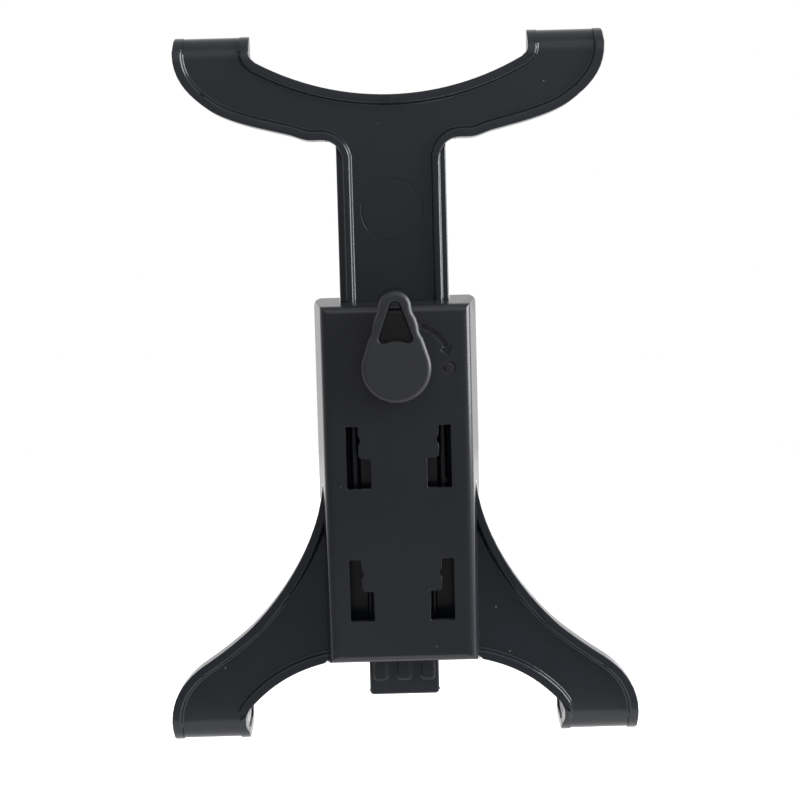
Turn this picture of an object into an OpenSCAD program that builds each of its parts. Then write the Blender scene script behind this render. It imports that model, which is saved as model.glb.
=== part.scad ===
// Telescoping tablet cradle for the back of a headrest.
// X runs across the tablet, Z up along the arm, and Y from the photographed rear face towards the tablet.
// The origin is the centre of the four hook slots, on the housing's rear face.

/* [Housing] */
// What the flat rear face is wider than the stem, for the rails, the screw bosses and the walls
side_room = 10.1; // [9:0.1:16]
// Height of the rear face above the slot centre
face_top = 55.1; // [52:0.1:60]
// Depth of the rear face below the slot centre
face_bottom = 35.6; // [33:0.1:42]
// Draft added on each side from the rear face to the open front
side_draft = 1.8; // [0.5:0.1:3]
// Draft added at the top and bottom ends
end_draft = 1.8; // [0.5:0.1:3]
// Wall thickness of the shell
shell_wall = 2.2; // [1.6:0.1:3]
// Rounding of the rear face's edges
face_round = 2; // [1:0.1:3]

/* [Hook slots] */
// Vertical distance between the two rows
slot_pitch = 33.8; // [28:0.1:36]
// Distance across the outer edges of a row
slot_span = 26.4; // [24:0.1:28]
// Whole height of a slot
slot_h = 15.8; // [12:0.1:18]
// Width of the entry at the bottom of a slot
slot_entry_w = 6.1; // [5:0.1:7]
// Height of the entry
slot_entry_h = 7.6; // [5:0.1:9]
// Width of the neck above the entry
slot_neck_w = 3.05; // [2.5:0.05:4]

/* [Arm] */
// Width of the stem over its guide flanges
stem_w = 27.6; // [24:0.1:28.5]
// Width over the stem's two raised rims
stem_rim_span = 24.2; // [21:0.1:25]
// Width of each stem rim
stem_rim_w = 1.9; // [1.4:0.1:2.6]
// Depth of the rims' rear edges behind the rear face
rim_y = 6; // [5.2:0.1:7.5]
// Height of the rims above the web
rim_h = 1.6; // [1:0.1:2]
// Height of the rims where they run over a hook's end
hook_rim = 0.4; // [0.2:0.1:1]
// Thickness of the web
web_t = 2.2; // [1.8:0.1:3]
// Lower end of the stem's full width, as photographed
stem_end = -5; // [-6:0.5:4]
// Width of the tongue
tongue_w = 17.9; // [14:0.1:19]
// Lower end of the tongue, as photographed
tongue_end = -45.7; // [-60:0.1:-42]

/* [Upper arc] */
// Lowest point of the arc's upper edge
arc_dip = 107.5; // [104:0.1:112]
// Radius of the arc's upper edge
arc_r = 69; // [60:0.5:90]
// Underside of the arc beside the stem
arc_under = 96.5; // [90:0.1:98]
// Top of the upper hooks
hook_top = 123.2; // [120:0.1:130]
// Distance from the centre to an upper hook's inner edge
hook_in = 34.9; // [32:0.1:37]
// Distance from the centre to an upper hook's outer edge
hook_out = 54; // [52:0.1:60]

/* [Legs] */
// Lowest point of the lower hooks
foot_bottom = -57.1; // [-62:0.1:-54]
// Distance from the centre to a lower hook's inner edge
foot_in = 40.4; // [38:0.1:43]
// Distance from the centre to a lower hook's outer edge
foot_out = 60.2; // [58:0.1:64]
// Width of the raised rim along the arms' edges
rim_w = 2.4; // [1.8:0.1:3]

/* [Hooks] */
// Space between the seat and the lip, for the tablet and its pads
grip_gap = 12; // [9:0.5:16]
// Wall thickness of a hook
hook_wall = 2.4; // [2:0.1:3.2]
// Length of the lip that turns back over the tablet
lip_h = 7; // [4:0.5:12]
// Rounding of the lip's outer corner
lip_corner = 6.5; // [3:0.1:7]
// Bend radius at the back of a hook
bend_r = 6.5; // [4:0.1:8]
// Thickness of the foam pads
pad_t = 1; // [0.6:0.1:2]

/* [Lock] */
// Height of the lock's axis
lock_z = 39.6; // [38:0.1:41]
// Radius of the knob's round end
knob_r = 8.7; // [7:0.1:10]
// Distance from the axis to the centre of the lever's tip
lever_l = 15; // [12:0.1:18]
// Radius of the lever's tip
lever_r = 4.1; // [3:0.1:5]
// Thickness of the knob
knob_t = 5.6; // [4:0.1:8]
// Radius of the knob's shaft
shaft_r = 3.2; // [2.5:0.1:4]
// Width across the square drive
drive_w = 4.2; // [3:0.1:4.4]
// Thickness of the cam's oval plate
cam_t = 2; // [1.5:0.1:2.2]

/* [Front plate] */
// Thickness of the front plate
plate_t = 2.4; // [2:0.1:3]
// Sliding clearance on each face of the arm
slide_gap = 0.15; // [0.1:0.05:0.3]
// Clearance of parts that are fitted together
fit_gap = 0.2; // [0.1:0.05:0.3]

/* [Hidden] */

web_y = rim_y + rim_h;
web_front = web_y + web_t;
plate_y = web_front + slide_gap;
seat_y = plate_y + plate_t;
depth = seat_y;
face_w = stem_w + side_room;
base_w = face_w + 2 * side_draft;
base_top = face_top + end_draft;
base_bottom = face_bottom + end_draft;
flange_y = web_y + 0.6;
lip_y = seat_y + grip_gap;
guide_x = stem_w / 2 + fit_gap;
rim_in = stem_rim_span / 2 - stem_rim_w;
horn_z = arc_dip + arc_r - sqrt(arc_r * arc_r - (hook_in - 1.6) * (hook_in - 1.6));
inner_r = 1.5;
upper_lean = 2.2;
lower_lean = 0.5;
corner_r = 2;
leg_top = 9.5;
screw_r = 1.1;
screw_head_r = 1.9;
screw_head_h = 1.3;
screw_seat = seat_y - screw_head_h - fit_gap;
screw_tip = 3.2;
screw_x = guide_x + 2.1;
screw_low = -face_bottom + 8.1;
screw_high = face_top - 6;
under = hook_top - hook_rim - hook_wall;
foot_knee = foot_bottom + 9.9;
flank_rail = stem_rim_span / 2 + 0.3;
knob_gap = 0.5;
knob_y = -knob_gap;
cam_y = shell_wall + fit_gap;
cam_front = rim_y - 0.3;
cam_screw_seat = cam_front - 1.1;
shoe_front = rim_y - 0.25;
cam_r = stem_rim_span / 2 - fit_gap;
cam_flat = 6.2;
nub_x = rim_in - 0.1;
nub_r = 1.1;
nub_h = 0.7;
arm_up = 34;
arm_down = 27;
peg_z = -5;
peg_r = 1.8;
peg_h = 1.1;
groove_d = peg_h + slide_gap;
flank_rise = (knob_r - lever_r) / lever_l;
flank = [sqrt(1 - flank_rise * flank_rise), flank_rise];
$fn = 48;

black = [0.17, 0.18, 0.2];
housing_black = [0.2, 0.2, 0.21];
foam_grey = [0.75, 0.75, 0.76];

// Points along a cubic curve with two handles
function curve(a, b, c, d, n = 10) = [for (i = [0:n]) let (t = i / n, s = 1 - t)
    s * s * s * a + 3 * s * s * t * b + 3 * s * t * t * c + t * t * t * d];

// Points along an arc about a centre
function arc(centre, r, from, to, n = 8) = [for (i = [0:n]) let (a = from + (to - from) * i / n)
    centre + r * [cos(a), sin(a)]];

// A right-hand outline joined to its mirror image
function both_sides(points) = concat(points,
    [for (i = [len(points) - 1:-1:0]) [-points[i][0], points[i][1]]]);

// A flat shape in X and Z, thickened from one depth to another
module slab(from, to) {
    translate([0, to, 0]) rotate([90, 0, 0]) linear_extrude(to - from) children();
}

// A side profile in Y and Z, drawn out along X
module run_x(from, to) {
    translate([from, 0, 0]) rotate([90, 0, 90]) linear_extrude(to - from) children();
}

module mirror_x() {
    children();
    mirror([1, 0, 0]) children();
}

// Round bar along Y
module pin_y(r, from, to) {
    translate([0, from, 0]) rotate([-90, 0, 0]) cylinder(r = r, h = to - from);
}

// Outline of the upper arc with its two horns, and the stem's sides at half down to low
function arc_outline(top, low, half = stem_rim_span / 2) = both_sides(concat(
    [for (i = [0:14]) let (x = (hook_in - 1.6) * i / 14) [x, arc_dip + arc_r - sqrt(arc_r * arc_r - x * x)]],
    curve([hook_in - 1.1, horn_z + 0.5], [hook_in - 0.3, horn_z + 1], [hook_in, horn_z + 1.6],
        [hook_in, horn_z + 3.2], 4),
    [[hook_in, top], [hook_out - 0.4, top]],
    curve([hook_out, hook_top - 4.5], [hook_out, hook_top - 11], [hook_out - 3.8, hook_top - 14.9],
        [hook_out - 8.5, hook_top - 18.3], 9),
    curve([hook_out - 9.7, hook_top - 19.1], [hook_out - 12.5, hook_top - 20.7],
        [hook_out - 16, hook_top - 22], [hook_out - 21, arc_under + 3.4], 6),
    curve([stem_w / 2 + 11.5, arc_under + 1.5], [stem_w / 2 + 9, arc_under + 0.7],
        [stem_w / 2 + 8, arc_under], [stem_w / 2 + 6, arc_under], 5),
    arc([half + 5.2, arc_under - 5.2], 5.2, 90, 180, 8),
    [[half, low]]));

// Outline of one leg from the housing's side to the lower hook; root is where its lower edge ends inside
function leg_outline(low, inner, root = -base_bottom + shell_wall) = concat(
    [[inner, leg_top]],
    curve([base_w / 2 - 1.05, leg_top], [base_w / 2 + 0.3, -5], [base_w / 2 + 9.9, -18.9],
        [foot_out - 21.3, -27], 12),
    curve([foot_out - 20.1, -28.1], [foot_out - 17.6, -30.3], [foot_out - 13.7, -33.3],
        [foot_out - 9.8, -35.9], 6),
    curve([foot_out - 8.3, -36.9], [foot_out - 3.8, -40], [foot_out, -44.6], [foot_out, -51.4], 9),
    [[foot_out - 0.3, low], [foot_in, low], [foot_in, foot_knee - 2]],
    curve([foot_in - 1.4, foot_knee], [foot_in - 6.9, foot_knee + 5.7], [base_w / 2 + 6.9, -base_bottom - 1],
        [base_w / 2 - 0.4, -base_bottom + 0.7], 12),
    [[base_w / 2 - 1.6, root], [inner, root]]);

// Side profile of an upper hook from the web to the lip, set back from the rims' outer face by skin on
// the web and by edge over the hook
module hook_profile(low, skin, edge) {
    outer = rim_y + skin;
    top = hook_top - edge;
    lip_out = lip_y + hook_wall + hook_rim - edge;
    lip_end = under - lip_h;
    lip_mid = (lip_y + lip_out) / 2;
    lip_r = (lip_out - lip_y) / 2;
    bend = bend_r - skin / 2;
    polygon(concat(
        [[outer, low]],
        arc([outer + bend, top - bend], bend, 180, 90, 12),
        arc([lip_y, under], hook_wall + hook_rim - edge, 90, 0),
        arc([lip_mid, lip_end], lip_r, 0, -180, 10),
        arc([lip_y - inner_r, under - inner_r], inner_r, 0, 90, 5),
        arc([seat_y + inner_r, under - inner_r], inner_r, 90, 180, 5),
        [[seat_y, low]]));
}

// Arm section: a web between raised rims that run over its hook. The hook's inner side starts at inner and
// leans outwards by lean at the lip, whose other corner at outer is rounded.
module arm_section(low, inner, outer, lean) {
    reach = lip_y + hook_wall + 1;
    difference() {
        intersection() {
            slab(0, reach) children(0);
            run_x(-outer - 1, outer + 1) hook_profile(low, 0, 0);
        }
        difference() {
            slab(-1, reach) offset(r = -rim_w) children(1);
            run_x(-outer - 2, outer + 2) hook_profile(low - 1, rim_h, hook_rim);
            translate([-outer - 2, web_y, low - 2]) cube([2 * outer + 4, reach, under - low - 2]);
        }
        mouth(low - 1, inner, lean);
        mirror_x() lip_corner_cut(outer, under - lip_h);
    }
}

// The open space between two hooks in front of the seat, whose sides lean outwards
module mouth(low, inner, lean) {
    reach = lip_y + hook_wall + 1;
    translate([0, 0, low]) linear_extrude(hook_top - low + 1) polygon([[-inner, seat_y], [inner, seat_y],
        [inner + lean, reach], [-inner - lean, reach]]);
}

// What rounds the outer corner of a lip that ends at low
module lip_corner_cut(outer, low) {
    slab(seat_y + lip_corner, lip_y + hook_wall + 1) translate([outer - lip_corner, low - 0.1])
        difference() {
            square([lip_corner + 1, lip_corner + 0.1]);
            translate([0, lip_corner + 0.1]) circle(lip_corner);
        }
}

// Everything that the flat web's front pocket takes away, apart from its cross ribs
module front_pocket(low, high, rib_xs) {
    rib_t = 1.2;
    difference() {
        intersection() {
            slab(web_front, seat_y + 1) offset(r = -rim_w) children();
            translate([-foot_out, 0, low]) cube([2 * foot_out, seat_y + 2, high - low]);
        }
        for (x = rib_xs) translate([x - rib_t / 2, 0, low - 1]) cube([rib_t, seat_y, high - low + 2]);
    }
}

module upper_bracket() {
    color(black) {
        difference() {
            arm_section(arc_under - 8, hook_in, hook_out, upper_lean) {
                polygon(arc_outline(hook_top + 1, arc_under - 8));
                polygon(arc_outline(hook_top + 20, arc_under - 20, stem_rim_span / 2 + rim_w - stem_rim_w));
            }
            front_pocket(arc_under - 20, hook_top - 12, [-44, -33, -22, -11, 0, 11, 22, 33, 44])
                polygon(arc_outline(hook_top + 20, arc_under - 1.5));
            translate([-stem_w, web_front, arc_under - 10]) cube([2 * stem_w, 10, 10]);
        }
        stem();
    }
}

// The stem: a channel with guide flanges, and the ribbed tongue below. A groove in its front face takes the
// front plate's stop peg, and a shallow ring marks the mould's ejector.
module stem() {
    difference() {
        union() {
            stem_channel();
            tongue();
        }
        slab(web_front - groove_d, web_front + 1) translate([0, peg_z - arm_up]) {
            translate([-peg_r - fit_gap, 0]) square([2 * (peg_r + fit_gap), arm_up + arm_down]);
            for (z = [0, arm_up + arm_down]) translate([0, z]) circle(peg_r + fit_gap, $fn = 32);
        }
        translate([0, 0, (face_top + arc_under) / 2 + 3]) difference() {
            pin_y(8, web_y - 1, web_y + 0.12);
            pin_y(7.6, web_y - 2, web_y + 1);
        }
    }
}

module stem_channel() {
    difference() {
        translate([-stem_rim_span / 2, rim_y, stem_end])
            cube([stem_rim_span, web_front - rim_y, arc_under - 4 - stem_end]);
        translate([-rim_in, rim_y - 1, stem_end - 1]) cube([2 * rim_in, rim_h + 1, arc_under - stem_end]);
    }
    translate([-stem_w / 2, flange_y, stem_end])
        cube([stem_w, web_front - flange_y, arc_under + 1 - stem_end]);
}

module tongue() {
    rib_pitch = 6.1;
    rib_w = 3.1;
    rib_bottom = tongue_end + 4.2;
    slab(web_y, web_front) difference() {
        translate([-tongue_w / 2, tongue_end]) square([tongue_w, stem_end - tongue_end + 1]);
        mirror_x() translate([tongue_w / 2 - 1, tongue_end]) difference() {
            square(1.1);
            translate([0, 1]) circle(1);
        }
    }
    for (x = [-rib_pitch, 0, rib_pitch]) slab(web_y - 0.8, web_y + 0.1) {
        translate([x - rib_w / 2, rib_bottom + 0.7]) square([rib_w, stem_end - 2 - rib_bottom]);
        translate([x - rib_w / 2 + 0.7, rib_bottom]) square([rib_w - 1.4, 1]);
        mirror_x_at(x) translate([rib_w / 2 - 0.7, rib_bottom + 0.7]) circle(0.7, $fn = 24);
    }
}

module mirror_x_at(x) {
    translate([x, 0]) mirror_x() children();
}

module lower_bracket() {
    color(black) difference() {
        union() {
            front_plate();
            mirror_x() leg();
        }
        screw_places() {
            pin_y(1.25, 0, seat_y + 1);
            pin_y(screw_head_r + fit_gap, screw_seat, seat_y + 1);
        }
    }
}

// The plate that closes the housing's open front, with tabs that fill the two end openings
module front_plate() {
    inset = shell_wall + fit_gap;
    half = base_w / 2 - inset - side_draft * plate_t / depth;
    end = inset + end_draft * plate_t / depth;
    slab(plate_y, seat_y) {
        translate([-half, -base_bottom + end]) square([2 * half, base_bottom + base_top - 2 * end]);
        translate([-stem_w / 2, 0]) square([stem_w, base_top]);
        translate([-tongue_w / 2, -base_bottom]) square([tongue_w, base_bottom]);
    }
    translate([0, 0, peg_z]) pin_y(peg_r, plate_y - slide_gap - peg_h, seat_y - 0.5);
}

// One leg, drawn upright as a hook and turned over
module leg() {
    scallop_r = 5.8;
    root = base_w / 2;
    difference() {
        translate([0, 0, foot_bottom + hook_top]) mirror([0, 0, 1])
            arm_section(flip(leg_top + 1), foot_in, foot_out, lower_lean) {
                flipped() polygon(leg_outline(foot_bottom - 1, guide_x));
                flipped() polygon(leg_outline(foot_bottom - 20, root - 2 - rim_w, 0.7 - base_bottom));
            }
        front_pocket(foot_bottom + 12, leg_top, [for (x = [4, 12, 20, 28]) root + x])
            intersection() {
                polygon(leg_outline(foot_bottom - 20, root - 1, 0.7 - base_bottom));
                translate([root - 1, foot_bottom]) square([foot_out - root + 1, leg_top - foot_bottom]);
            }
        translate([foot_in + 0.8 - scallop_r, 0, foot_bottom + 5.3])
            pin_y(scallop_r, rim_y - 1, seat_y + 0.5);
    }
}

// Height on the upright drawing of a leg's hook
function flip(z) = foot_bottom + hook_top - z;

module flipped() {
    translate([0, foot_bottom + hook_top]) mirror([0, 1]) children();
}

module screw_places() {
    for (x = [-screw_x, screw_x], z = [screw_low, screw_high]) translate([x, 0, z]) children();
}

module housing_screws() {
    color("silver") screw_places() difference() {
        union() {
            pin_y(screw_r, screw_tip, screw_seat + 0.1);
            pin_y(screw_head_r, screw_seat, screw_seat + screw_head_h);
        }
        translate([0, screw_seat + screw_head_h, 0]) cross_recess(screw_head_r);
    }
}

// Crossed recess in the head of a screw
module cross_recess(head_r) {
    for (a = [0, 90]) rotate([0, a, 0]) cube([1.2 * head_r, 1.3, 0.28 * head_r], center = true);
}

module rear_housing() {
    color(housing_black) difference() {
        union() {
            difference() {
                shell_outer();
                shell_cavity();
                slab(rim_y - slide_gap, depth + 1) {
                    translate([-guide_x, 0]) square([2 * guide_x, base_top + 1]);
                }
                slab(web_y - 0.8 - fit_gap, depth + 1)
                    translate([-tongue_w / 2 - fit_gap, -base_bottom - 1])
                        square([tongue_w + 2 * fit_gap, base_bottom]);
                mirror_x() slab(rim_y - fit_gap, depth + 1)
                    offset(delta = fit_gap) polygon(leg_outline(foot_bottom, guide_x - 3));
            }
            housing_guides();
        }
        mirror_x() for (z = [-slot_pitch / 2, slot_pitch / 2])
            slab(-1, shell_wall + 1) translate([0, z - slot_h / 2]) hook_slot();
        translate([0, 0, lock_z]) pin_y(shaft_r + 0.08, -1, shell_wall + 1);
        screw_places() pin_y(screw_r + 0.05, screw_tip - 0.4, depth);
        direction_marks();
    }
}

// Cross section of a drafted box, from its rounded floor to its open rim
function draft_profile(low, high, draft, from, to, r) = concat(
    arc([high - r, from + r], r, 0, -90, 5),
    arc([low + r, from + r], r, -90, -180, 5),
    [[low - draft, to], [high + draft, to]]);

// A drafted box: its section across X, drawn out along Z, cut to its section along Z
module draft_box(inset, from, to, r) {
    side = side_draft * (1 - from / depth);
    end = end_draft * (1 - from / depth);
    half = base_w / 2 - inset - side;
    intersection() {
        translate([0, 0, -base_bottom]) linear_extrude(base_bottom + base_top)
            polygon(draft_profile(-half, half, side, from, to, r));
        run_x(-base_w, base_w) polygon([for (p = draft_profile(-base_bottom + inset + end,
            base_top - inset - end, end, from, to, r)) [p[1], p[0]]]);
    }
}

module shell_outer() {
    intersection() {
        draft_box(0, 0, depth, face_round);
        slab(0, depth) offset(r = corner_r, $fn = 32) offset(delta = -corner_r)
            translate([-base_w / 2, -base_bottom]) square([base_w, base_bottom + base_top]);
    }
}

module shell_cavity() {
    draft_box(shell_wall, shell_wall, depth + 0.01, 0.8);
}

// Rails that carry the arm inside the housing, and the bosses that take the screws
module housing_guides() {
    base = shell_wall - 0.1;
    rail_t = 1.3;
    boss_r = screw_r + 1;
    mirror_x() {
        translate([guide_x, base, leg_top + 1])
            cube([rail_t, plate_y - fit_gap - base, face_top - leg_top - 1.5]);
        for (span = [[-face_bottom + shell_wall + 0.5, 4], [-6, 12], [face_top - 26, 25]])
            translate([flank_rail, base, span[0]]) cube([rail_t, flange_y - slide_gap - base, span[1]]);
        translate([screw_x, 0, screw_high]) pin_y(boss_r, base, plate_y - fit_gap);
        translate([screw_x, 0, screw_low]) pin_y(boss_r, base, rim_y - fit_gap);
    }
}

// One L-shaped slot with a rounded corner at the step and a shallow notch in the neck
module hook_slot() {
    outer = slot_span / 2;
    neck = outer - slot_neck_w;
    boss_r = 1.1;
    translate([outer - slot_entry_w, 0]) square([slot_entry_w, slot_entry_h]);
    translate([neck, 0]) square([slot_neck_w, slot_h]);
    translate([neck + 1, slot_h - 3.6]) circle(1.5, $fn = 32);
    translate([neck - boss_r, slot_entry_h]) difference() {
        translate([0, -0.1]) square([boss_r + 0.1, boss_r + 0.1]);
        translate([0, boss_r]) circle(boss_r, $fn = 32);
    }
}

// The turning arrow and the ring that marks the open position, engraved in the rear face
module direction_marks() {
    mark_r = 9.7;
    mark_w = 1.3;
    mark_d = 0.5;
    mark_start = 75;
    mark_end = 24;
    translate([0, 0, lock_z]) slab(-1, mark_d) {
        translate([3.7, 0.6]) {
            intersection() {
                difference() {
                    circle(mark_r + mark_w / 2, $fn = 96);
                    circle(mark_r - mark_w / 2, $fn = 96);
                }
                polygon([[0, 0], 2 * mark_r * [cos(mark_start), sin(mark_start)],
                    2 * mark_r * [cos(mark_end), sin(mark_end)]]);
            }
            rotate(mark_end) translate([mark_r, 0]) polygon([[-1.7, 0.2], [1.6, 0.2], [-0.4, -2.3]]);
        }
        translate([13.2, -0.6]) difference() {
            circle(1.7, $fn = 32);
            circle(1.1, $fn = 32);
        }
    }
}

// Teardrop lever with two grip ripples on each flank
module knob_outline(inset = 0) {
    ripple_r = 2.6;
    ripple_d = 0.28;
    difference() {
        union() {
            circle(knob_r - inset, $fn = 96);
            translate([0, lever_l]) circle(lever_r - inset, $fn = 64);
            mirror_x() polygon([[0, 0], (knob_r - inset) * flank, [0, lever_l] + (lever_r - inset) * flank,
                [0, lever_l]]);
        }
        for (along = [0.46, 0.84]) mirror_x()
            translate((1 - along) * knob_r * flank + along * ([0, lever_l] + lever_r * flank)
                + (ripple_r - ripple_d) * flank) circle(ripple_r + inset, $fn = 48);
    }
}

module knob_eye(grow = 0) {
    offset(r = 0.8 + grow, $fn = 24) polygon([[-3.1, 7.3], [-1.6, 7.7], [0, 7.9], [1.6, 7.7], [3.1, 7.3],
        [0.2, 15.3], [-0.2, 15.3]]);
}

module lock_knob() {
    round_steps = [[0, 0.9], [0.12, 0.6], [0.35, 0.35], [0.7, 0.12], [1.1, 0]];
    color(housing_black) translate([0, 0, lock_z]) difference() {
        union() {
            difference() {
                union() {
                    slab(knob_y - knob_t + 1.1, knob_y) knob_outline();
                    for (step = round_steps)
                        slab(knob_y - knob_t + step[1], knob_y - 1) knob_outline(step[0]);
                }
                slab(knob_y - knob_t - 1, knob_y + 1) knob_eye();
                slab(knob_y - knob_t - 1, knob_y - knob_t + 1) knob_eye(0.6);
            }
            pin_y(shaft_r, knob_y - 0.5, cam_y);
            slab(cam_y - 0.1, cam_screw_seat) square(drive_w, center = true);
        }
        pin_y(screw_r + 0.05, 0, cam_front);
    }
}

// Friction washer between the knob and the housing
module knob_washer() {
    color("dimgray") translate([0, 0, lock_z]) difference() {
        pin_y(5.8, knob_y, 0);
        pin_y(shaft_r + 0.1, knob_y - 1, 1);
    }
}

// Oval of the lock's cam, cut off flat on its two long sides
module cam_oval(grow = 0) {
    intersection() {
        circle(cam_r + grow, $fn = 96);
        square([2 * cam_r + 2, 2 * (cam_flat + grow)], center = true);
    }
}

// Cam on the knob's shaft: its ends lie over the stem's rims when its long axis lies across them
module lock_cam() {
    color("whitesmoke") translate([0, 0, lock_z]) difference() {
        union() {
            slab(cam_y, cam_y + cam_t) cam_oval();
            pin_y(drive_w / 2 + 3.1, cam_y, cam_front);
            mirror_x() translate([nub_x, 0, 0]) pin_y(nub_r, cam_y, cam_y + cam_t + nub_h);
        }
        slab(cam_y - 1, cam_front + 1) square(drive_w, center = true);
        pin_y(screw_head_r + 0.9, cam_screw_seat, cam_front + 1);
    }
}

// Rubber shoes on the cam's ends, with sloped edges that climb on the rims as the knob turns
module cam_shoes() {
    low = cam_y + cam_t;
    slope = 1.4;
    color("dimgray") translate([0, 0, lock_z]) mirror_x() difference() {
        intersection() {
            slab(low, shoe_front) cam_oval(-0.3);
            run_x(rim_in - 1.6, cam_r) polygon([[low, 0.3 - cam_flat], [low, cam_flat - 0.3],
                [shoe_front, cam_flat - 0.3 - slope], [shoe_front, slope + 0.3 - cam_flat]]);
        }
        translate([nub_x, 0, 0]) pin_y(nub_r + 0.05, low - 1, low + nub_h + 0.05);
    }
}

module cam_screw() {
    color("silver") translate([0, 0, lock_z]) difference() {
        union() {
            pin_y(screw_r, 0.6, cam_screw_seat + 0.1);
            pin_y(screw_head_r + 0.7, cam_screw_seat, cam_front - 0.1);
        }
        translate([0, cam_front - 0.1, 0]) cross_recess(screw_head_r + 0.7);
    }
}

module front_pad() {
    half = base_w / 2 - shell_wall - 1;
    color(foam_grey) slab(seat_y, seat_y + pad_t) offset(r = 2) offset(delta = -2)
        translate([-half, -face_bottom + 1]) square([2 * half, face_top + face_bottom - 2]);
}

// Foam liner folded round the inside of an upright hook, set in from the hook's edges all round
module hook_pad(inner, outer, lean) {
    set_in = 0.6;
    lip_end = under - lip_h;
    fold = inner_r + pad_t * 0.4;
    color(foam_grey) difference() {
        intersection() {
            slab(0, lip_y + 1) offset(delta = -set_in) children();
            run_x(inner, outer) polygon([[seat_y, lip_end - 5], [seat_y, under - inner_r],
                [seat_y + inner_r, under], [lip_y - inner_r, under], [lip_y, under - inner_r],
                [lip_y, lip_end + 0.5], [lip_y - pad_t, lip_end + 0.5], [lip_y - pad_t, under - fold],
                [lip_y - fold, under - pad_t], [seat_y + fold, under - pad_t],
                [seat_y + pad_t, under - fold], [seat_y + pad_t, lip_end - 5]]);
        }
        mouth(lip_end - 6, inner + set_in, lean);
        lip_corner_cut(outer - set_in, lip_end + 0.5);
    }
}

module upper_pad() {
    hook_pad(hook_in, hook_out, upper_lean) polygon(arc_outline(hook_top, arc_under - 8));
}

module lower_pad() {
    translate([0, 0, foot_bottom + hook_top]) mirror([0, 0, 1]) hook_pad(foot_in, foot_out, lower_lean)
        flipped() polygon(leg_outline(foot_bottom, guide_x));
}

rear_housing();
lower_bracket();
upper_bracket();
lock_knob();
knob_washer();
lock_cam();
cam_shoes();
cam_screw();
housing_screws();
front_pad();
mirror([1, 0, 0]) upper_pad();  // upper_left_pad
upper_pad();  // upper_right_pad
mirror([1, 0, 0]) lower_pad();  // lower_left_pad
lower_pad();  // lower_right_pad
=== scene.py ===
import math

import bmesh
import bpy
from mathutils import Matrix, Vector


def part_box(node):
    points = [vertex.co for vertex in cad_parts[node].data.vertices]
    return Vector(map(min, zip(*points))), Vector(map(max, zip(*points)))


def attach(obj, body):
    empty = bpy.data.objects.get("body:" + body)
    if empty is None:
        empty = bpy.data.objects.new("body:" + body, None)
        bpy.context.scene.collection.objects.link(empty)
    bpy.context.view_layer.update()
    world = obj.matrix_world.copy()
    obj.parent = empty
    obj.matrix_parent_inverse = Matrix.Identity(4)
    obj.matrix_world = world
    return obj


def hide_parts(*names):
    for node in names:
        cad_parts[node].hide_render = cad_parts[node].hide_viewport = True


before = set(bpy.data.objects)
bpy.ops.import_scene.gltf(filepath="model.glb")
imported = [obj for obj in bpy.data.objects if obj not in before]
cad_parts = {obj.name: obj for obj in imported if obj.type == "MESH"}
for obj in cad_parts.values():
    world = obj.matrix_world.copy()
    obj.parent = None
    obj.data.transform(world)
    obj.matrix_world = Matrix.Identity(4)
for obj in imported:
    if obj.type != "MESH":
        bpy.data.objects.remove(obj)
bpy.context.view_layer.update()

# The scene is in metres. X runs across the tablet, Z up the sliding arm, and the photographed rear face looks
# along -Y. Pieces are shaped in millimetres and brought back to metres when they are finished.
MM = 0.001

# The photograph's view: how far the camera stands off, how high it looks from, and how the picture is turned
VIEW_DISTANCE = 0.420
VIEW_HEIGHT = math.radians(5.0)
PICTURE_TURN = math.radians(1.5)
VIEW_CENTRE = Vector((0.0007, 0.0, 0.0313))
METRES_PER_PIXEL = 0.25 * MM
IMAGE_WIDTH = 800
SENSOR_WIDTH = 36.0

# Just below the tongue's end when the arm is pushed all the way in
FLOOR_Z = -0.0735

# Edges that turn by more than this, in degrees, are rounded
SHARP_EDGE = 35.0


def deselect():
    if bpy.context.object and bpy.context.object.mode != "OBJECT":
        bpy.ops.object.mode_set(mode="OBJECT")
    bpy.ops.object.select_all(action="DESELECT")


def activate(piece):
    deselect()
    piece.select_set(True)
    bpy.context.view_layer.objects.active = piece


def apply_modifiers(piece):
    activate(piece)
    for modifier in list(piece.modifiers):
        bpy.ops.object.modifier_apply(modifier=modifier.name)


# Shader nodes

def rgb(r, g, b):
    return (r, g, b, 1.0)


def add_node(tree, kind, **settings):
    node = tree.nodes.new(kind)
    for key, value in settings.items():
        setattr(node, key, value)
    return node


def fill(tree, slot, value):
    """Links a socket to the slot, or writes a constant in it."""
    if isinstance(value, bpy.types.NodeSocket):
        tree.links.new(value, slot)
    else:
        slot.default_value = value


def math_node(tree, operation, *values):
    node = add_node(tree, "ShaderNodeMath", operation=operation)
    for slot, value in zip(node.inputs, values):
        fill(tree, slot, value)
    return node.outputs[0]


def remap(tree, value, start, end, low=0.0, high=1.0, smooth=False):
    """Low where the value is at start, high where it is at end, and between them in between."""
    node = add_node(tree, "ShaderNodeMapRange", interpolation_type="SMOOTHSTEP" if smooth else "LINEAR")
    tree.links.new(value, node.inputs["Value"])
    for name, number in (("From Min", start), ("From Max", end), ("To Min", low), ("To Max", high)):
        node.inputs[name].default_value = number
    return node.outputs[0]


def mix_colours(tree, share, first, second):
    """The first colour where the share is 0, the second where it is 1."""
    node = add_node(tree, "ShaderNodeMix", data_type="RGBA")
    for slot, value in zip((node.inputs[0], node.inputs[6], node.inputs[7]), (share, first, second)):
        fill(tree, slot, value)
    return node.outputs[2]


def noise(tree, vector, scale, detail):
    node = add_node(tree, "ShaderNodeTexNoise")
    node.inputs["Detail"].default_value = detail
    tree.links.new(vector, node.inputs["Vector"])
    tree.links.new(scale, node.inputs["Scale"])
    return node.outputs[0]


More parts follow.
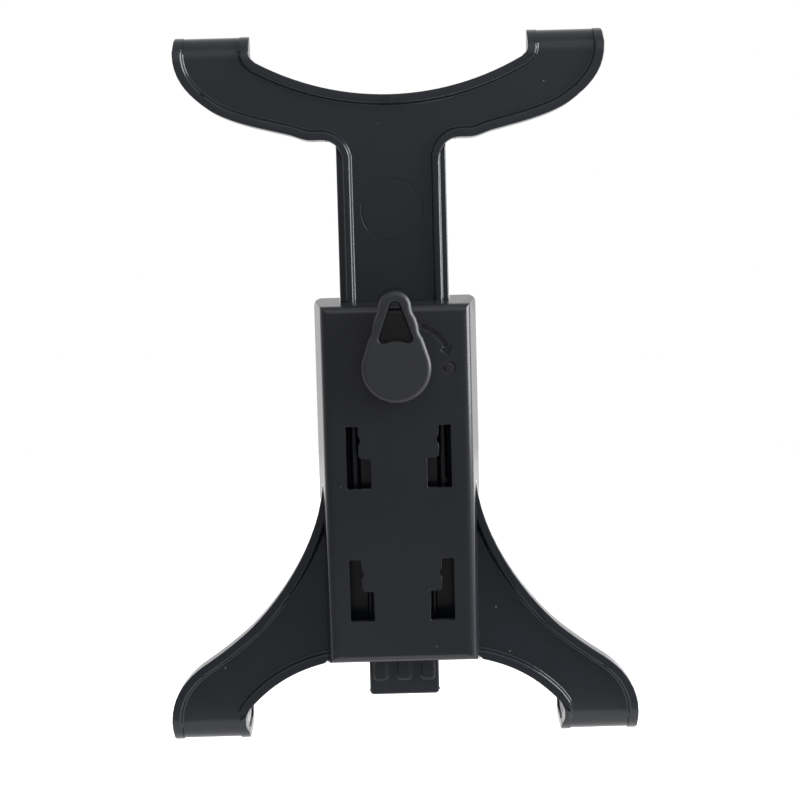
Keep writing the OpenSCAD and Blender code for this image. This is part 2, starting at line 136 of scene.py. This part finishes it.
def new_group(label, numbers, colours=(), outputs=()):
    """A node group with a Vector input, inputs for numbers and colours, and outputs as (name, kind)."""
    tree = bpy.data.node_groups.new(label, "ShaderNodeTree")
    tree.interface.new_socket(name="Vector", in_out="INPUT", socket_type="NodeSocketVector")
    for name, value in numbers.items():
        made = tree.interface.new_socket(name=name, in_out="INPUT", socket_type="NodeSocketFloat")
        made.default_value = value
    for name in colours:
        tree.interface.new_socket(name=name, in_out="INPUT", socket_type="NodeSocketColor")
    for name, kind in outputs:
        tree.interface.new_socket(name=name, in_out="OUTPUT", socket_type="NodeSocket" + kind)
    return tree, tree.nodes.new("NodeGroupInput"), tree.nodes.new("NodeGroupOutput")


def use_group(tree, group, vector, **values):
    node = add_node(tree, "ShaderNodeGroup", node_tree=group)
    tree.links.new(vector, node.inputs["Vector"])
    for name, value in values.items():
        node.inputs[name.replace("_", " ")].default_value = value
    return node


def build_speck_group():
    """Mask of small round specks: one in each cell of a grid, kept in only a share of the cells."""
    tree, start, end = new_group("specks", {"Cells per metre": 400.0, "Radius": 0.05, "Share": 0.2},
                                 outputs=[("Mask", "Float")])
    cells = add_node(tree, "ShaderNodeTexVoronoi", feature="F1")
    tree.links.new(start.outputs["Vector"], cells.inputs["Vector"])
    tree.links.new(start.outputs["Cells per metre"], cells.inputs["Scale"])
    near = math_node(tree, "LESS_THAN", cells.outputs["Distance"], start.outputs["Radius"])
    chance = add_node(tree, "ShaderNodeSeparateColor")
    tree.links.new(cells.outputs["Color"], chance.inputs[0])
    kept = math_node(tree, "LESS_THAN", chance.outputs[0], start.outputs["Share"])
    strength = math_node(tree, "MULTIPLY", math_node(tree, "MULTIPLY", near, kept), chance.outputs[1])
    tree.links.new(strength, end.inputs["Mask"])
    return tree


def build_grain_group():
    """Height of a fine moulded or spark-eroded texture, over broader waves."""
    wave_share = 0.06
    tree, start, end = new_group("moulded grain", {"Grains per metre": 4000.0, "Waviness": 0.3},
                                 outputs=[("Height", "Float")])
    grains = start.outputs["Grains per metre"]
    fine = noise(tree, start.outputs["Vector"], grains, 2.0)
    broad = noise(tree, start.outputs["Vector"], math_node(tree, "MULTIPLY", grains, wave_share), 1.0)
    swell = math_node(tree, "MULTIPLY", broad, start.outputs["Waviness"])
    tree.links.new(math_node(tree, "ADD", fine, swell), end.inputs["Height"])
    return tree


def build_tone_group():
    """A slow drift between two tones, as on handled plastic."""
    tree, start, end = new_group("tone drift", {"Patches per metre": 25.0}, ["Dark", "Light"],
                                 [("Color", "Color"), ("Drift", "Float")])
    cloud = noise(tree, start.outputs["Vector"], start.outputs["Patches per metre"], 3.0)
    drift = remap(tree, cloud, 0.3, 0.7)
    colour = mix_colours(tree, drift, start.outputs["Dark"], start.outputs["Light"])
    tree.links.new(colour, end.inputs["Color"])
    tree.links.new(drift, end.inputs["Drift"])
    return tree


SPECKS = build_speck_group()
GRAIN = build_grain_group()
TONE = build_tone_group()


# Finishes

DUST_GREY = rgb(0.35, 0.35, 0.36)
SCUFF_STRETCH = (1.0, 1.0, 0.12)
SCUFF_SLANT = (0.0, math.radians(25.0), 0.0)


def new_finish(name):
    """A new material: itself, its nodes, its shader and the place on the piece."""
    material = bpy.data.materials.new(name)
    material.use_nodes = True
    tree = material.node_tree
    return material, tree, tree.nodes["Principled BSDF"], add_node(tree, "ShaderNodeTexCoord").outputs["Object"]


def plastic(name, dark, light, roughness, grains, grain_depth, dust=0.0, scuffs=0.0):
    """Moulded plastic: two close tones, a fine grain, and a little dust and scuffing."""
    material, tree, shader, place = new_finish(name)
    tone = use_group(tree, TONE, place, Dark=dark, Light=light)
    colour = tone.outputs["Color"]
    if dust:
        specks = use_group(tree, SPECKS, place, Cells_per_metre=260.0, Radius=0.05, Share=0.25)
        mark = math_node(tree, "MULTIPLY", specks.outputs["Mask"], dust)
        colour = mix_colours(tree, mark, colour, DUST_GREY)
    if scuffs:
        stretch = add_node(tree, "ShaderNodeMapping")
        stretch.inputs["Scale"].default_value = SCUFF_STRETCH
        stretch.inputs["Rotation"].default_value = SCUFF_SLANT
        tree.links.new(place, stretch.inputs["Vector"])
        lines = use_group(tree, SPECKS, stretch.outputs[0], Cells_per_metre=150.0, Radius=0.035, Share=0.1)
        mark = math_node(tree, "MULTIPLY", lines.outputs["Mask"], scuffs)
        colour = mix_colours(tree, mark, colour, DUST_GREY)
    tree.links.new(colour, shader.inputs["Base Color"])
    shine = remap(tree, tone.outputs["Drift"], 0.0, 1.0, roughness * 0.9, roughness * 1.12)
    tree.links.new(shine, shader.inputs["Roughness"])
    grain = use_group(tree, GRAIN, place, Grains_per_metre=grains)
    bump = add_node(tree, "ShaderNodeBump")
    bump.inputs["Strength"].default_value = 1.0
    bump.inputs["Distance"].default_value = grain_depth
    tree.links.new(grain.outputs["Height"], bump.inputs["Height"])
    tree.links.new(bump.outputs[0], shader.inputs["Normal"])
    return material


def metal(name, colour, roughness):
    """Plated metal, mottled at the scale of a screw's head."""
    material, tree, shader, place = new_finish(name)
    tone = use_group(tree, TONE, place, Patches_per_metre=900.0, Dark=rgb(*[c * 0.8 for c in colour]),
                     Light=rgb(*colour))
    tree.links.new(tone.outputs["Color"], shader.inputs["Base Color"])
    shader.inputs["Metallic"].default_value = 1.0
    shader.inputs["Roughness"].default_value = roughness
    return material


ARM_GLOSS = plastic("glossy black arm", rgb(0.0085, 0.011, 0.016), rgb(0.0115, 0.0145, 0.020), 0.22,
                    900.0, 0.003 * MM, dust=0.5, scuffs=0.35)
HOUSING_MATT = plastic("satin black housing", rgb(0.0145, 0.0155, 0.020), rgb(0.018, 0.0195, 0.0245), 0.18,
                       5000.0, 0.002 * MM, dust=0.3)
KNOB_SATIN = plastic("satin black knob", rgb(0.018, 0.0192, 0.0235), rgb(0.022, 0.0232, 0.0275), 0.40,
                     4200.0, 0.006 * MM, dust=0.2)
GRIP_RUBBER = plastic("soft black rubber", rgb(0.018, 0.018, 0.019), rgb(0.024, 0.024, 0.025), 0.75,
                      2500.0, 0.02 * MM)
SHEET_RUBBER = plastic("anti-slip sheet", rgb(0.022, 0.022, 0.023), rgb(0.030, 0.030, 0.031), 0.8,
                       2200.0, 0.03 * MM, dust=0.4)
HOOK_FOAM = plastic("light grey foam", rgb(0.42, 0.42, 0.43), rgb(0.52, 0.52, 0.53), 0.92, 2600.0, 0.09 * MM)
CAM_NYLON = plastic("natural nylon", rgb(0.62, 0.61, 0.56), rgb(0.70, 0.69, 0.64), 0.38, 1500.0, 0.004 * MM)
SCREW_ZINC = metal("zinc plated steel", (0.60, 0.60, 0.61), 0.32)


# Working on the pieces

def merged_copy(node, name):
    """A copy of a CAD node in millimetres, with its corners welded."""
    piece = bpy.data.objects.new(name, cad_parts[node].data.copy())
    bpy.context.collection.objects.link(piece)
    activate(piece)
    piece.scale = (1 / MM, 1 / MM, 1 / MM)
    bpy.ops.object.transform_apply(location=False, rotation=False, scale=True)
    bpy.ops.object.mode_set(mode="EDIT")
    bpy.ops.mesh.select_all(action="SELECT")
    bpy.ops.mesh.remove_doubles(threshold=0.001)
    bpy.ops.object.mode_set(mode="OBJECT")
    return piece


def both_sides(*places):
    return [side * place for place in places for side in (-1, 1)]


def flatten_faces(piece, levels=(), sides=()):
    """Turn the triangles into whole flat faces. The piece is first cut across at the levels, along Z, and at
    the sides, along X, through every hole, so that no face runs all round a hole."""
    activate(piece)
    bpy.ops.object.mode_set(mode="EDIT")
    cuts = [((0.0, 0.0, level), (0.0, 0.0, 1.0)) for level in levels]
    cuts += [((side, 0.0, 0.0), (1.0, 0.0, 0.0)) for side in sides]
    for point, normal in cuts:
        bpy.ops.mesh.select_all(action="SELECT")
        bpy.ops.mesh.bisect(plane_co=point, plane_no=normal, threshold=0.0005)
        bpy.ops.mesh.mark_seam()
    bpy.ops.mesh.select_all(action="SELECT")
    bpy.ops.mesh.dissolve_limited(angle_limit=math.radians(0.5), delimit={"SEAM"})
    bpy.ops.mesh.select_all(action="DESELECT")
    bpy.ops.object.mode_set(mode="OBJECT")


def middle(edge):
    return (edge.verts[0].co + edge.verts[1].co) / 2


def round_edges(piece, width_of, largest, segments, profile=0.5):
    """Small roundings, as a mould leaves them. width_of(edge) gives each sharp edge's rounding in mm."""
    mesh = bmesh.new()
    mesh.from_mesh(piece.data)
    weight = mesh.edges.layers.float.new("bevel_weight_edge")
    for edge in mesh.edges:
        if len(edge.link_faces) == 2 and edge.calc_face_angle() > math.radians(SHARP_EDGE):
            edge[weight] = min(1.0, width_of(edge) / largest)
    mesh.to_mesh(piece.data)
    mesh.free()
    bevel = piece.modifiers.new("rounded edges", "BEVEL")
    bevel.width = largest
    bevel.segments = segments
    bevel.limit_method = "WEIGHT"
    bevel.profile = profile
    bevel.use_clamp_overlap = False
    apply_modifiers(piece)


def loft(name, rings):
    """A closed solid through outlines at rising depths. Each is (depth, points in X and Z)."""
    count = len(rings[0][1])
    points = [(x, depth, z) for depth, ring in rings for x, z in ring]
    faces = [tuple(range(count)), tuple(reversed(range(len(points) - count, len(points))))]
    for level in range(len(rings) - 1):
        low = level * count
        for step in range(count):
            ahead = (step + 1) % count
            faces.append((low + ahead, low + step, low + count + step, low + count + ahead))
    mesh = bpy.data.meshes.new(name)
    mesh.from_pydata(points, [], faces)
    piece = bpy.data.objects.new(name, mesh)
    bpy.context.collection.objects.link(piece)
    activate(piece)
    bpy.ops.object.mode_set(mode="EDIT")
    bpy.ops.mesh.select_all(action="SELECT")
    bpy.ops.mesh.normals_make_consistent(inside=False)
    bpy.ops.object.mode_set(mode="OBJECT")
    return piece


def cut_away(piece, cutter):
    """Takes the cutter's shape out of the piece, and removes the cutter."""
    cut = piece.modifiers.new("cut", "BOOLEAN")
    cut.operation = "DIFFERENCE"
    cut.object = cutter
    cut.solver = "EXACT"
    apply_modifiers(piece)
    bpy.data.objects.remove(cutter)


def finish_piece(piece, material, body, sharp=32.0):
    """Back to metres, smooth but for the sharp edges, with flat faces shaded flat."""
    activate(piece)
    piece.scale = (MM, MM, MM)
    bpy.ops.object.transform_apply(location=False, rotation=False, scale=True)
    bpy.ops.object.shade_smooth_by_angle(angle=math.radians(sharp))
    even = piece.modifiers.new("even shading", "WEIGHTED_NORMAL")
    even.keep_sharp = True
    apply_modifiers(piece)
    piece.data.materials.clear()
    piece.data.materials.append(material)
    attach(piece, body)


# The housing

HOUSING_EDGE = 0.16
HOUSING_SKIN = 2.5  # depth that holds the rear face, its slots and marks, and their edges


def housing_rounding(edge):
    """Slots, marks and outer edges are rounded; what lies inside stays as it is."""
    return HOUSING_EDGE if middle(edge).y < HOUSING_SKIN else 0.0


housing = merged_copy("rear_housing", "housing_shell")
flatten_faces(housing, levels=(-30.4, -27.5, -16.9, 0.0, 16.9, 39.0, 39.6, 47.6, 49.1),
              sides=(-15.9, -13.2, 0.0, 13.2, 15.9))
round_edges(housing, housing_rounding, HOUSING_EDGE, 2)
finish_piece(housing, HOUSING_MATT, "cradle")
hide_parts("rear_housing")


# The two arms: the legs of the lower bracket, and the upper bracket's arc and stem. All in mm.

# Depths of the rims' tops, of the web between them and of the stem's guide flanges
RIM_Y = 6.0
WEB_Y = 7.6
FLANGE_Y = 8.2
LIP_START = 21.0
SAME_DEPTH = 0.05
# The tallest wall beside a rim's inner edge; what is taller is the arm's outer side
RIM_WALL = 1.75

# The stem, its stepped neck and the ring that the mould's ejector left
STEM_HALF = 14.0
STEM_LOW = -4.0
NECK_STEPS = (83.5, 85.5, 87.5, 89.5)
RING_MARK_Z = 78.8
RING_MARK_R = 8.3
RING_MARK_DEPTHS = (7.5, 7.8)

# The hooks: where the rims' inner edges run over them, their tops, and the bends of rims and web
UPPER_RIMS = (37.3, 51.6)
LOWER_RIMS = (42.8, 57.8)
HOOKS_FROM = 34.0
HOOK_TOP = 123.2
HOOK_LOW = 57.1
HOOK_RIM = 0.4
HOOK_LIFT = 0.36
RIM_BEND_Y = 12.5
RIM_BEND_R = 6.5
RIM_BEND_INSIDE = 6.25
WEB_BEND_Y = 13.3
WEB_BEND_R = 5.7

# The lips: the radius of their outer corner, how far the slope beyond it reaches in, and the cut's depths
LIP_CORNER = 6.5
LIP_SLOPE = 12.8
LIP_DEPTHS = (23.6, 29.0)

# Roundings: a rim's top, its foot on the web, the flanges, all other edges, the ring and the hooks' ends
RIM_TOP = 0.6
RIM_FOOT = 0.5
NECK_TAPER = 0.1
FLANGE_EDGE = 0.35
PLAIN_EDGE = 0.2
RING_EDGE = 0.05
HOOK_END_EDGE = 0.02
# Over a hook's bend, in degrees, the rim's roundings stop, and small ones start again
RIM_STOPS = 22
HOOK_END_STARTS = 37


def wall_depth(edge):
    """How far the steep faces beside an edge reach along Y."""
    depths = [vert.co.y for face in edge.link_faces if abs(face.normal.y) < 0.5 for vert in face.verts]
    return max(depths) - min(depths) if depths else 0.0


def hook_place(point):
    """Where a point lies from the centre of its hook's bend, as (how far behind it, how far above it)."""
    height = point.z - HOOK_TOP if point.z > 0 else -point.z - HOOK_LOW
    over_rim = Vector((RIM_BEND_Y - point.y, height + RIM_BEND_R))
    over_web = Vector((WEB_BEND_Y - point.y, height + WEB_BEND_R + HOOK_RIM))
    return over_rim if over_rim.length > RIM_BEND_INSIDE else over_web


def arm_rounding(edge):
    """The rims are rounded beads with a fillet at their foot. Over the hooks they are low and crisp."""
    place = middle(edge)
    on_rim_top = abs(place.y - RIM_Y) < SAME_DEPTH
    on_stem = abs(place.x) < STEM_HALF and STEM_LOW < place.z
    if place.y > LIP_START:
        return 0.0
    if (RING_MARK_DEPTHS[0] < place.y < RING_MARK_DEPTHS[1]
            and math.hypot(place.x, place.z - RING_MARK_Z) < RING_MARK_R):
        return RING_EDGE
    bend = hook_place(place)
    rims = UPPER_RIMS if place.z > 0 else LOWER_RIMS
    if bend.y > 0 and min(abs(abs(place.x) - rim) for rim in rims) < 0.35:
        turned = math.degrees(math.atan2(bend.y, bend.x))
        if turned > HOOK_END_STARTS:
            return HOOK_END_EDGE
        if turned > RIM_STOPS:
            return 0.0
        return RIM_TOP if bend.length > RIM_BEND_INSIDE else RIM_FOOT
    if on_rim_top and wall_depth(edge) < RIM_WALL:
        return RIM_TOP
    if on_rim_top and on_stem:
        return RIM_TOP - NECK_TAPER * sum(place.z > z for z in NECK_STEPS)
    if abs(place.y - WEB_Y) < SAME_DEPTH:
        return RIM_FOOT
    if on_stem and abs(place.y - FLANGE_Y) < SAME_DEPTH:
        return FLANGE_EDGE
    return PLAIN_EDGE


def trim_lips(piece, outer, end, upward):
    """Slopes off the thin end of each lip beyond its rounded outer corner. Upward is 1 over the upper hooks."""
    top = upward * (end - 0.05)
    low = upward * (end - 3)
    for side in both_sides(1):
        outline = [(side * (outer - LIP_CORNER), top), (side * (outer + 1), top), (side * (outer + 1), low),
                   (side * (outer - LIP_SLOPE), low)]
        cut_away(piece, loft("lip_end", [(depth, outline) for depth in LIP_DEPTHS]))


def raise_hook_web(piece):
    """The web comes up to the rims over the hooks, so that the top line is straight."""
    for vert in piece.data.vertices:
        point = vert.co
        side = 1 if point.z > 0 else -1
        over_top = abs(point.z) - (HOOK_TOP if point.z > 0 else HOOK_LOW) + HOOK_RIM
        up = over_top + WEB_BEND_R
        across = point.y - WEB_BEND_Y
        if abs(point.x) < HOOKS_FROM or up < 0.1:
            continue
        if across < 0 and abs(math.hypot(across, up) - WEB_BEND_R) < 0.03:
            share = up / WEB_BEND_R
            point.y += HOOK_LIFT * share * across / WEB_BEND_R
            point.z += side * HOOK_LIFT * share * up / WEB_BEND_R
        elif across > -0.01 and abs(over_top) < 0.03:
            point.z += side * HOOK_LIFT


lower_arm = merged_copy("lower_bracket", "lower_legs")
trim_lips(lower_arm, outer=60.2, end=47.3, upward=-1)
flatten_faces(lower_arm, levels=(-27.5, -5.0, 49.1), sides=[0.0] + both_sides(22.3, 28.65, 36.65, 44.65, 52.0))
raise_hook_web(lower_arm)
round_edges(lower_arm, arm_rounding, RIM_TOP, 3, 0.34)
finish_piece(lower_arm, ARM_GLOSS, "cradle")
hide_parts("lower_bracket")

upper_arm = merged_copy("upper_bracket", "upper_arc_and_stem")
trim_lips(upper_arm, outer=54.0, end=113.4, upward=1)
flatten_faces(upper_arm, levels=(RING_MARK_Z,) + NECK_STEPS, sides=[0.0] + both_sides(5.5, 16.5, 27.5, 38.5, 47.0))
raise_hook_web(upper_arm)
round_edges(upper_arm, arm_rounding, RIM_TOP, 3, 0.34)
finish_piece(upper_arm, ARM_GLOSS, "arm")
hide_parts("upper_bracket")


# The knob, lofted through its own outlines. All in mm, with Z from the lock's axis.

KNOB_AXIS_Z = 39.6
KNOB_BACK = -6.1
KNOB_FRONT = -0.5
KNOB_R = 8.7
KNOB_EDGE = 1.25
TIP_R = 4.1
TIP_Z = 15.0
# Grip ripples on each flank: their places along it, their radius and depth, and how softly they run out
RIPPLES = (0.46, 0.84)
RIPPLE_R = 2.6
RIPPLE_DEPTH = 0.3
RIPPLE_BLEND = 0.5
# The eye: corners of the triangle that its radius goes round, and the sloped rim (depth, widening)
EYE_CORNERS = [(-3.1, 7.3), (-1.6, 7.7), (0.0, 7.9), (1.6, 7.7), (3.1, 7.3), (0.2, 15.3), (-0.2, 15.3)]
EYE_R = 0.8
EYE_RIM = ((-0.3, 0.85), (0.0, 0.62), (0.06, 0.5), (0.18, 0.41), (0.4, 0.36))
# Middles that the outlines are traced from, and how many points they get
KNOB_MIDDLE_Z = 6.0
KNOB_POINTS = 200
EYE_MIDDLE_Z = 10.5
EYE_POINTS = 140
SHAFT_R = 3.2
SHAFT_LENGTH = 3.4
DRIVE_WIDTH = 4.2
DRIVE_LENGTH = 2.3


def soft_larger(a, b, reach):
    """The larger of two numbers, blended where they are close."""
    near = max(reach - abs(a - b), 0.0) / reach
    return max(a, b) + near * near * reach / 4


def knob_distance(x, z):
    """Distance outside the teardrop, with its four grip ripples."""
    rise = (KNOB_R - TIP_R) / TIP_Z
    flank = Vector((math.sqrt(1 - rise * rise), rise))
    point = Vector((abs(x), z))
    tip = Vector((0.0, TIP_Z))
    along = -flank.y * point.x + flank.x * point.y
    if along < 0:
        away = point.length - KNOB_R
    elif along > flank.x * TIP_Z:
        away = (point - tip).length - TIP_R
    else:
        away = point.dot(flank) - KNOB_R
    for share in RIPPLES:
        on_flank = (1 - share) * KNOB_R * flank + share * (tip + TIP_R * flank)
        centre = on_flank + (RIPPLE_R - RIPPLE_DEPTH) * flank
        away = soft_larger(away, RIPPLE_R - (point - centre).length, RIPPLE_BLEND)
    return away


def eye_distance(x, z):
    """Distance outside the knob's eye, a rounded triangle."""
    point = Vector((x, z))
    nearest = math.inf
    inside = False
    for here, there in zip(EYE_CORNERS, EYE_CORNERS[1:] + EYE_CORNERS[:1]):
        start = Vector(here)
        along = Vector(there) - start
        share = max(0.0, min(1.0, (point - start).dot(along) / along.length_squared))
        nearest = min(nearest, (point - start - share * along).length)
        if (here[1] > z) != (there[1] > z) and x < here[0] + (z - here[1]) * along.x / along.y:
            inside = not inside
    return (-nearest if inside else nearest) - EYE_R


def trace(distance, middle_z, inset, count):
    """Points where the distance is minus the inset, found by halving along rays from the middle."""
    ring = []
    for step in range(count):
        angle = 2 * math.pi * step / count
        near, far = 0.0, 25.0
        for _ in range(24):
            reach = (near + far) / 2
            if distance(reach * math.cos(angle), middle_z + reach * math.sin(angle)) > -inset:
                far = reach
            else:
                near = reach
        ring.append((near * math.cos(angle), KNOB_AXIS_Z + middle_z + near * math.sin(angle)))
    return ring


def build_knob():
    """The teardrop with its rounded back edge and its eye, on its round shaft with the square drive."""
    rings = []
    for angle in (math.radians(15 * step) for step in reversed(range(7))):
        inset = KNOB_EDGE * (1 - math.cos(angle))
        rings.append((KNOB_BACK + KNOB_EDGE * (1 - math.sin(angle)),
                      trace(knob_distance, KNOB_MIDDLE_Z, inset, KNOB_POINTS)))
    rings.append((KNOB_FRONT, trace(knob_distance, KNOB_MIDDLE_Z, 0.0, KNOB_POINTS)))
    knob = loft("teardrop_knob", rings)
    rim = [(KNOB_BACK + depth, widening) for depth, widening in EYE_RIM] + [(KNOB_FRONT + 0.5, 0.0)]
    cut_away(knob, loft("knob_eye", [(depth, trace(eye_distance, EYE_MIDDLE_Z, -widening, EYE_POINTS))
                                     for depth, widening in rim]))
    deselect()
    bpy.ops.mesh.primitive_cylinder_add(vertices=64, radius=SHAFT_R, depth=SHAFT_LENGTH,
                                        location=(0.0, 0.7, KNOB_AXIS_Z), rotation=(math.pi / 2, 0.0, 0.0))
    shaft = bpy.context.object
    bpy.ops.mesh.primitive_cube_add(size=1.0, location=(0.0, 3.45, KNOB_AXIS_Z),
                                    scale=(DRIVE_WIDTH, DRIVE_LENGTH, DRIVE_WIDTH))
    drive = bpy.context.object
    for added in (shaft, drive):
        activate(added)
        bpy.ops.object.transform_apply(location=True, rotation=True, scale=True)
        soften = added.modifiers.new("rounded edges", "BEVEL")
        soften.width = 0.15
        soften.segments = 2
        apply_modifiers(added)
    activate(knob)
    shaft.select_set(True)
    drive.select_set(True)
    bpy.ops.object.join()
    return knob


knob = build_knob()
finish_piece(knob, KNOB_SATIN, "lock", 40.0)
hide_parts("lock_knob")


# The foam liners in the hooks, and the anti-slip sheet

FOAM_EDGE = 0.3

for corner, body in (("upper_left", "arm"), ("upper_right", "arm"), ("lower_left", "cradle"),
                     ("lower_right", "cradle")):
    liner = merged_copy(corner + "_pad", corner + "_foam")
    flatten_faces(liner)
    round_edges(liner, lambda edge: FOAM_EDGE, FOAM_EDGE, 3)
    finish_piece(liner, HOOK_FOAM, body, 40.0)
    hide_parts(corner + "_pad")

SHEET_CORNER = 2.0
SHEET_MARGIN = 1.3
RIB_STEP = 2.4
RIB_WIDTH = 1.2
RIB_HEIGHT = 0.3
RIB_EDGE = 0.14
RIB_OVERLAP = 0.1


def add_block(low, high):
    """A block between two corners, to be shaped further."""
    bpy.ops.mesh.primitive_cube_add(size=1.0)
    block = bpy.context.object
    block.scale = [b - a for a, b in zip(low, high)]
    block.location = [(a + b) / 2 for a, b in zip(low, high)]
    bpy.ops.object.transform_apply(location=True, rotation=True, scale=True)
    return block


def build_sheet():
    """The anti-slip sheet: a thin base with rounded corners and low ribs across it."""
    low, high = [[value / MM for value in corner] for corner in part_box("front_pad")]
    base_top = high[1] - RIB_HEIGHT
    deselect()
    sheet = add_block(low, (high[0], base_top, high[2]))
    sheet.name = "ribbed_sheet"
    round_edges(sheet, lambda edge: SHEET_CORNER if abs(edge.verts[0].co.y - edge.verts[1].co.y) > 0.1 else 0.0,
                SHEET_CORNER, 6)
    count = int((high[2] - low[2] - 2 * SHEET_MARGIN) / RIB_STEP)
    first = (low[2] + high[2] - (count - 1) * RIB_STEP) / 2
    ribs = add_block((low[0] + SHEET_MARGIN, base_top - RIB_OVERLAP, first - RIB_WIDTH / 2),
                     (high[0] - SHEET_MARGIN, high[1], first + RIB_WIDTH / 2))
    round_edges(ribs, lambda edge: RIB_EDGE if middle(edge).y > base_top else 0.0, RIB_EDGE, 2)
    repeat = ribs.modifiers.new("ribs", "ARRAY")
    repeat.count = count
    repeat.use_relative_offset = False
    repeat.use_constant_offset = True
    repeat.constant_offset_displace = (0.0, 0.0, RIB_STEP)
    apply_modifiers(ribs)
    activate(sheet)
    ribs.select_set(True)
    bpy.ops.object.join()
    return sheet


sheet = build_sheet()
finish_piece(sheet, SHEET_RUBBER, "cradle")
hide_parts("front_pad")


# The CAD nodes that keep their own mesh and only take a finish

for node, material in {
    "knob_washer": GRIP_RUBBER, "lock_cam": CAM_NYLON, "cam_shoes": GRIP_RUBBER, "cam_screw": SCREW_ZINC,
    "housing_screws": SCREW_ZINC,
}.items():
    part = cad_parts[node]
    part.data.materials.clear()
    part.data.materials.append(material)


# Floor, light and camera

WHITE = rgb(1.0, 1.0, 1.0)
FLOOR_GREY = rgb(0.86, 0.86, 0.86)
# What is added to the floor for the camera, so that it is white, and in reflections
FLOOR_SEEN = 0.6
FLOOR_MIRRORED = 0.32


def build_floor():
    deselect()
    bpy.ops.mesh.primitive_circle_add(vertices=96, radius=0.42, fill_type="NGON", location=(0.0, 0.35, FLOOR_Z))
    floor = bpy.context.object
    floor.name = "pale_floor"
    material = bpy.data.materials.new("pale floor")
    material.use_nodes = True
    tree = material.node_tree
    tree.nodes.clear()
    output = add_node(tree, "ShaderNodeOutputMaterial")
    lit = add_node(tree, "ShaderNodeBsdfDiffuse")
    lit.inputs["Color"].default_value = FLOOR_GREY
    white = add_node(tree, "ShaderNodeEmission")
    white.inputs["Color"].default_value = WHITE
    path = add_node(tree, "ShaderNodeLightPath")
    seen = math_node(tree, "MULTIPLY", path.outputs["Is Camera Ray"], FLOOR_SEEN)
    glow = math_node(tree, "MULTIPLY_ADD", path.outputs["Is Glossy Ray"], FLOOR_MIRRORED, seen)
    tree.links.new(glow, white.inputs["Strength"])
    both = add_node(tree, "ShaderNodeAddShader")
    tree.links.new(lit.outputs[0], both.inputs[0])
    tree.links.new(white.outputs[0], both.inputs[1])
    tree.links.new(both.outputs[0], output.inputs[0])
    floor.data.materials.append(material)


def build_world():
    """White all round for the camera. The object sees it brighter behind, below and on the right, and dim in
    front, but for a band a little above the camera's height."""
    world = bpy.data.worlds.new("white studio")
    bpy.context.scene.world = world
    world.use_nodes = True
    tree = world.node_tree
    tree.nodes.clear()
    output = add_node(tree, "ShaderNodeOutputWorld")
    sky = add_node(tree, "ShaderNodeBackground")
    sky.inputs["Color"].default_value = WHITE
    path = add_node(tree, "ShaderNodeLightPath")
    direction = add_node(tree, "ShaderNodeSeparateXYZ")
    tree.links.new(add_node(tree, "ShaderNodeTexCoord").outputs["Generated"], direction.inputs[0])
    sideways = math_node(tree, "MULTIPLY_ADD", direction.outputs["X"], 0.45, direction.outputs["Y"])
    toward = math_node(tree, "MULTIPLY_ADD", direction.outputs["Z"], -0.7, sideways)
    level = remap(tree, toward, -1.1, 0.5, 0.2, 0.95, smooth=True)
    above = remap(tree, direction.outputs["Z"], -0.02, 0.12, smooth=True)
    in_front = remap(tree, direction.outputs["Y"], 0.6, -0.2, smooth=True)
    band = math_node(tree, "MULTIPLY", above, in_front)
    lit = math_node(tree, "MULTIPLY_ADD", band, 0.40, level)
    seen = math_node(tree, "MAXIMUM", lit, path.outputs["Is Camera Ray"])
    tree.links.new(seen, sky.inputs["Strength"])
    tree.links.new(sky.outputs[0], output.inputs[0])


def soft_light(name, place, size, power):
    """A square soft light that faces the middle of the cradle."""
    lamp = bpy.data.lights.new(name, "AREA")
    lamp.shape = "SQUARE"
    lamp.size = size
    lamp.energy = power
    holder = bpy.data.objects.new(name, lamp)
    bpy.context.collection.objects.link(holder)
    holder.location = place
    holder.rotation_mode = "QUATERNION"
    holder.rotation_quaternion = (VIEW_CENTRE - Vector(place)).to_track_quat("-Z", "Y")


def build_camera():
    camera = bpy.data.objects.new("camera", bpy.data.cameras.new("camera"))
    bpy.context.collection.objects.link(camera)
    bpy.context.scene.camera = camera
    focal_pixels = VIEW_DISTANCE / METRES_PER_PIXEL
    camera.data.sensor_width = SENSOR_WIDTH
    camera.data.lens = SENSOR_WIDTH * focal_pixels / IMAGE_WIDTH
    camera.data.clip_start = 0.01
    away = Vector((0.0, -math.cos(VIEW_HEIGHT), math.sin(VIEW_HEIGHT)))
    tilt = Matrix.Rotation(math.pi / 2 - VIEW_HEIGHT, 4, "X") @ Matrix.Rotation(-PICTURE_TURN, 4, "Z")
    camera.matrix_world = Matrix.Translation(VIEW_CENTRE + VIEW_DISTANCE * away) @ tilt


build_floor()
build_world()
soft_light("key_from_right", place=(0.95, -0.10, 0.30), size=0.80, power=18.0)
soft_light("fill_from_front", place=(0.10, -0.85, 0.75), size=0.70, power=0.6)
build_camera()
bpy.context.scene.view_settings.view_transform = "Standard"
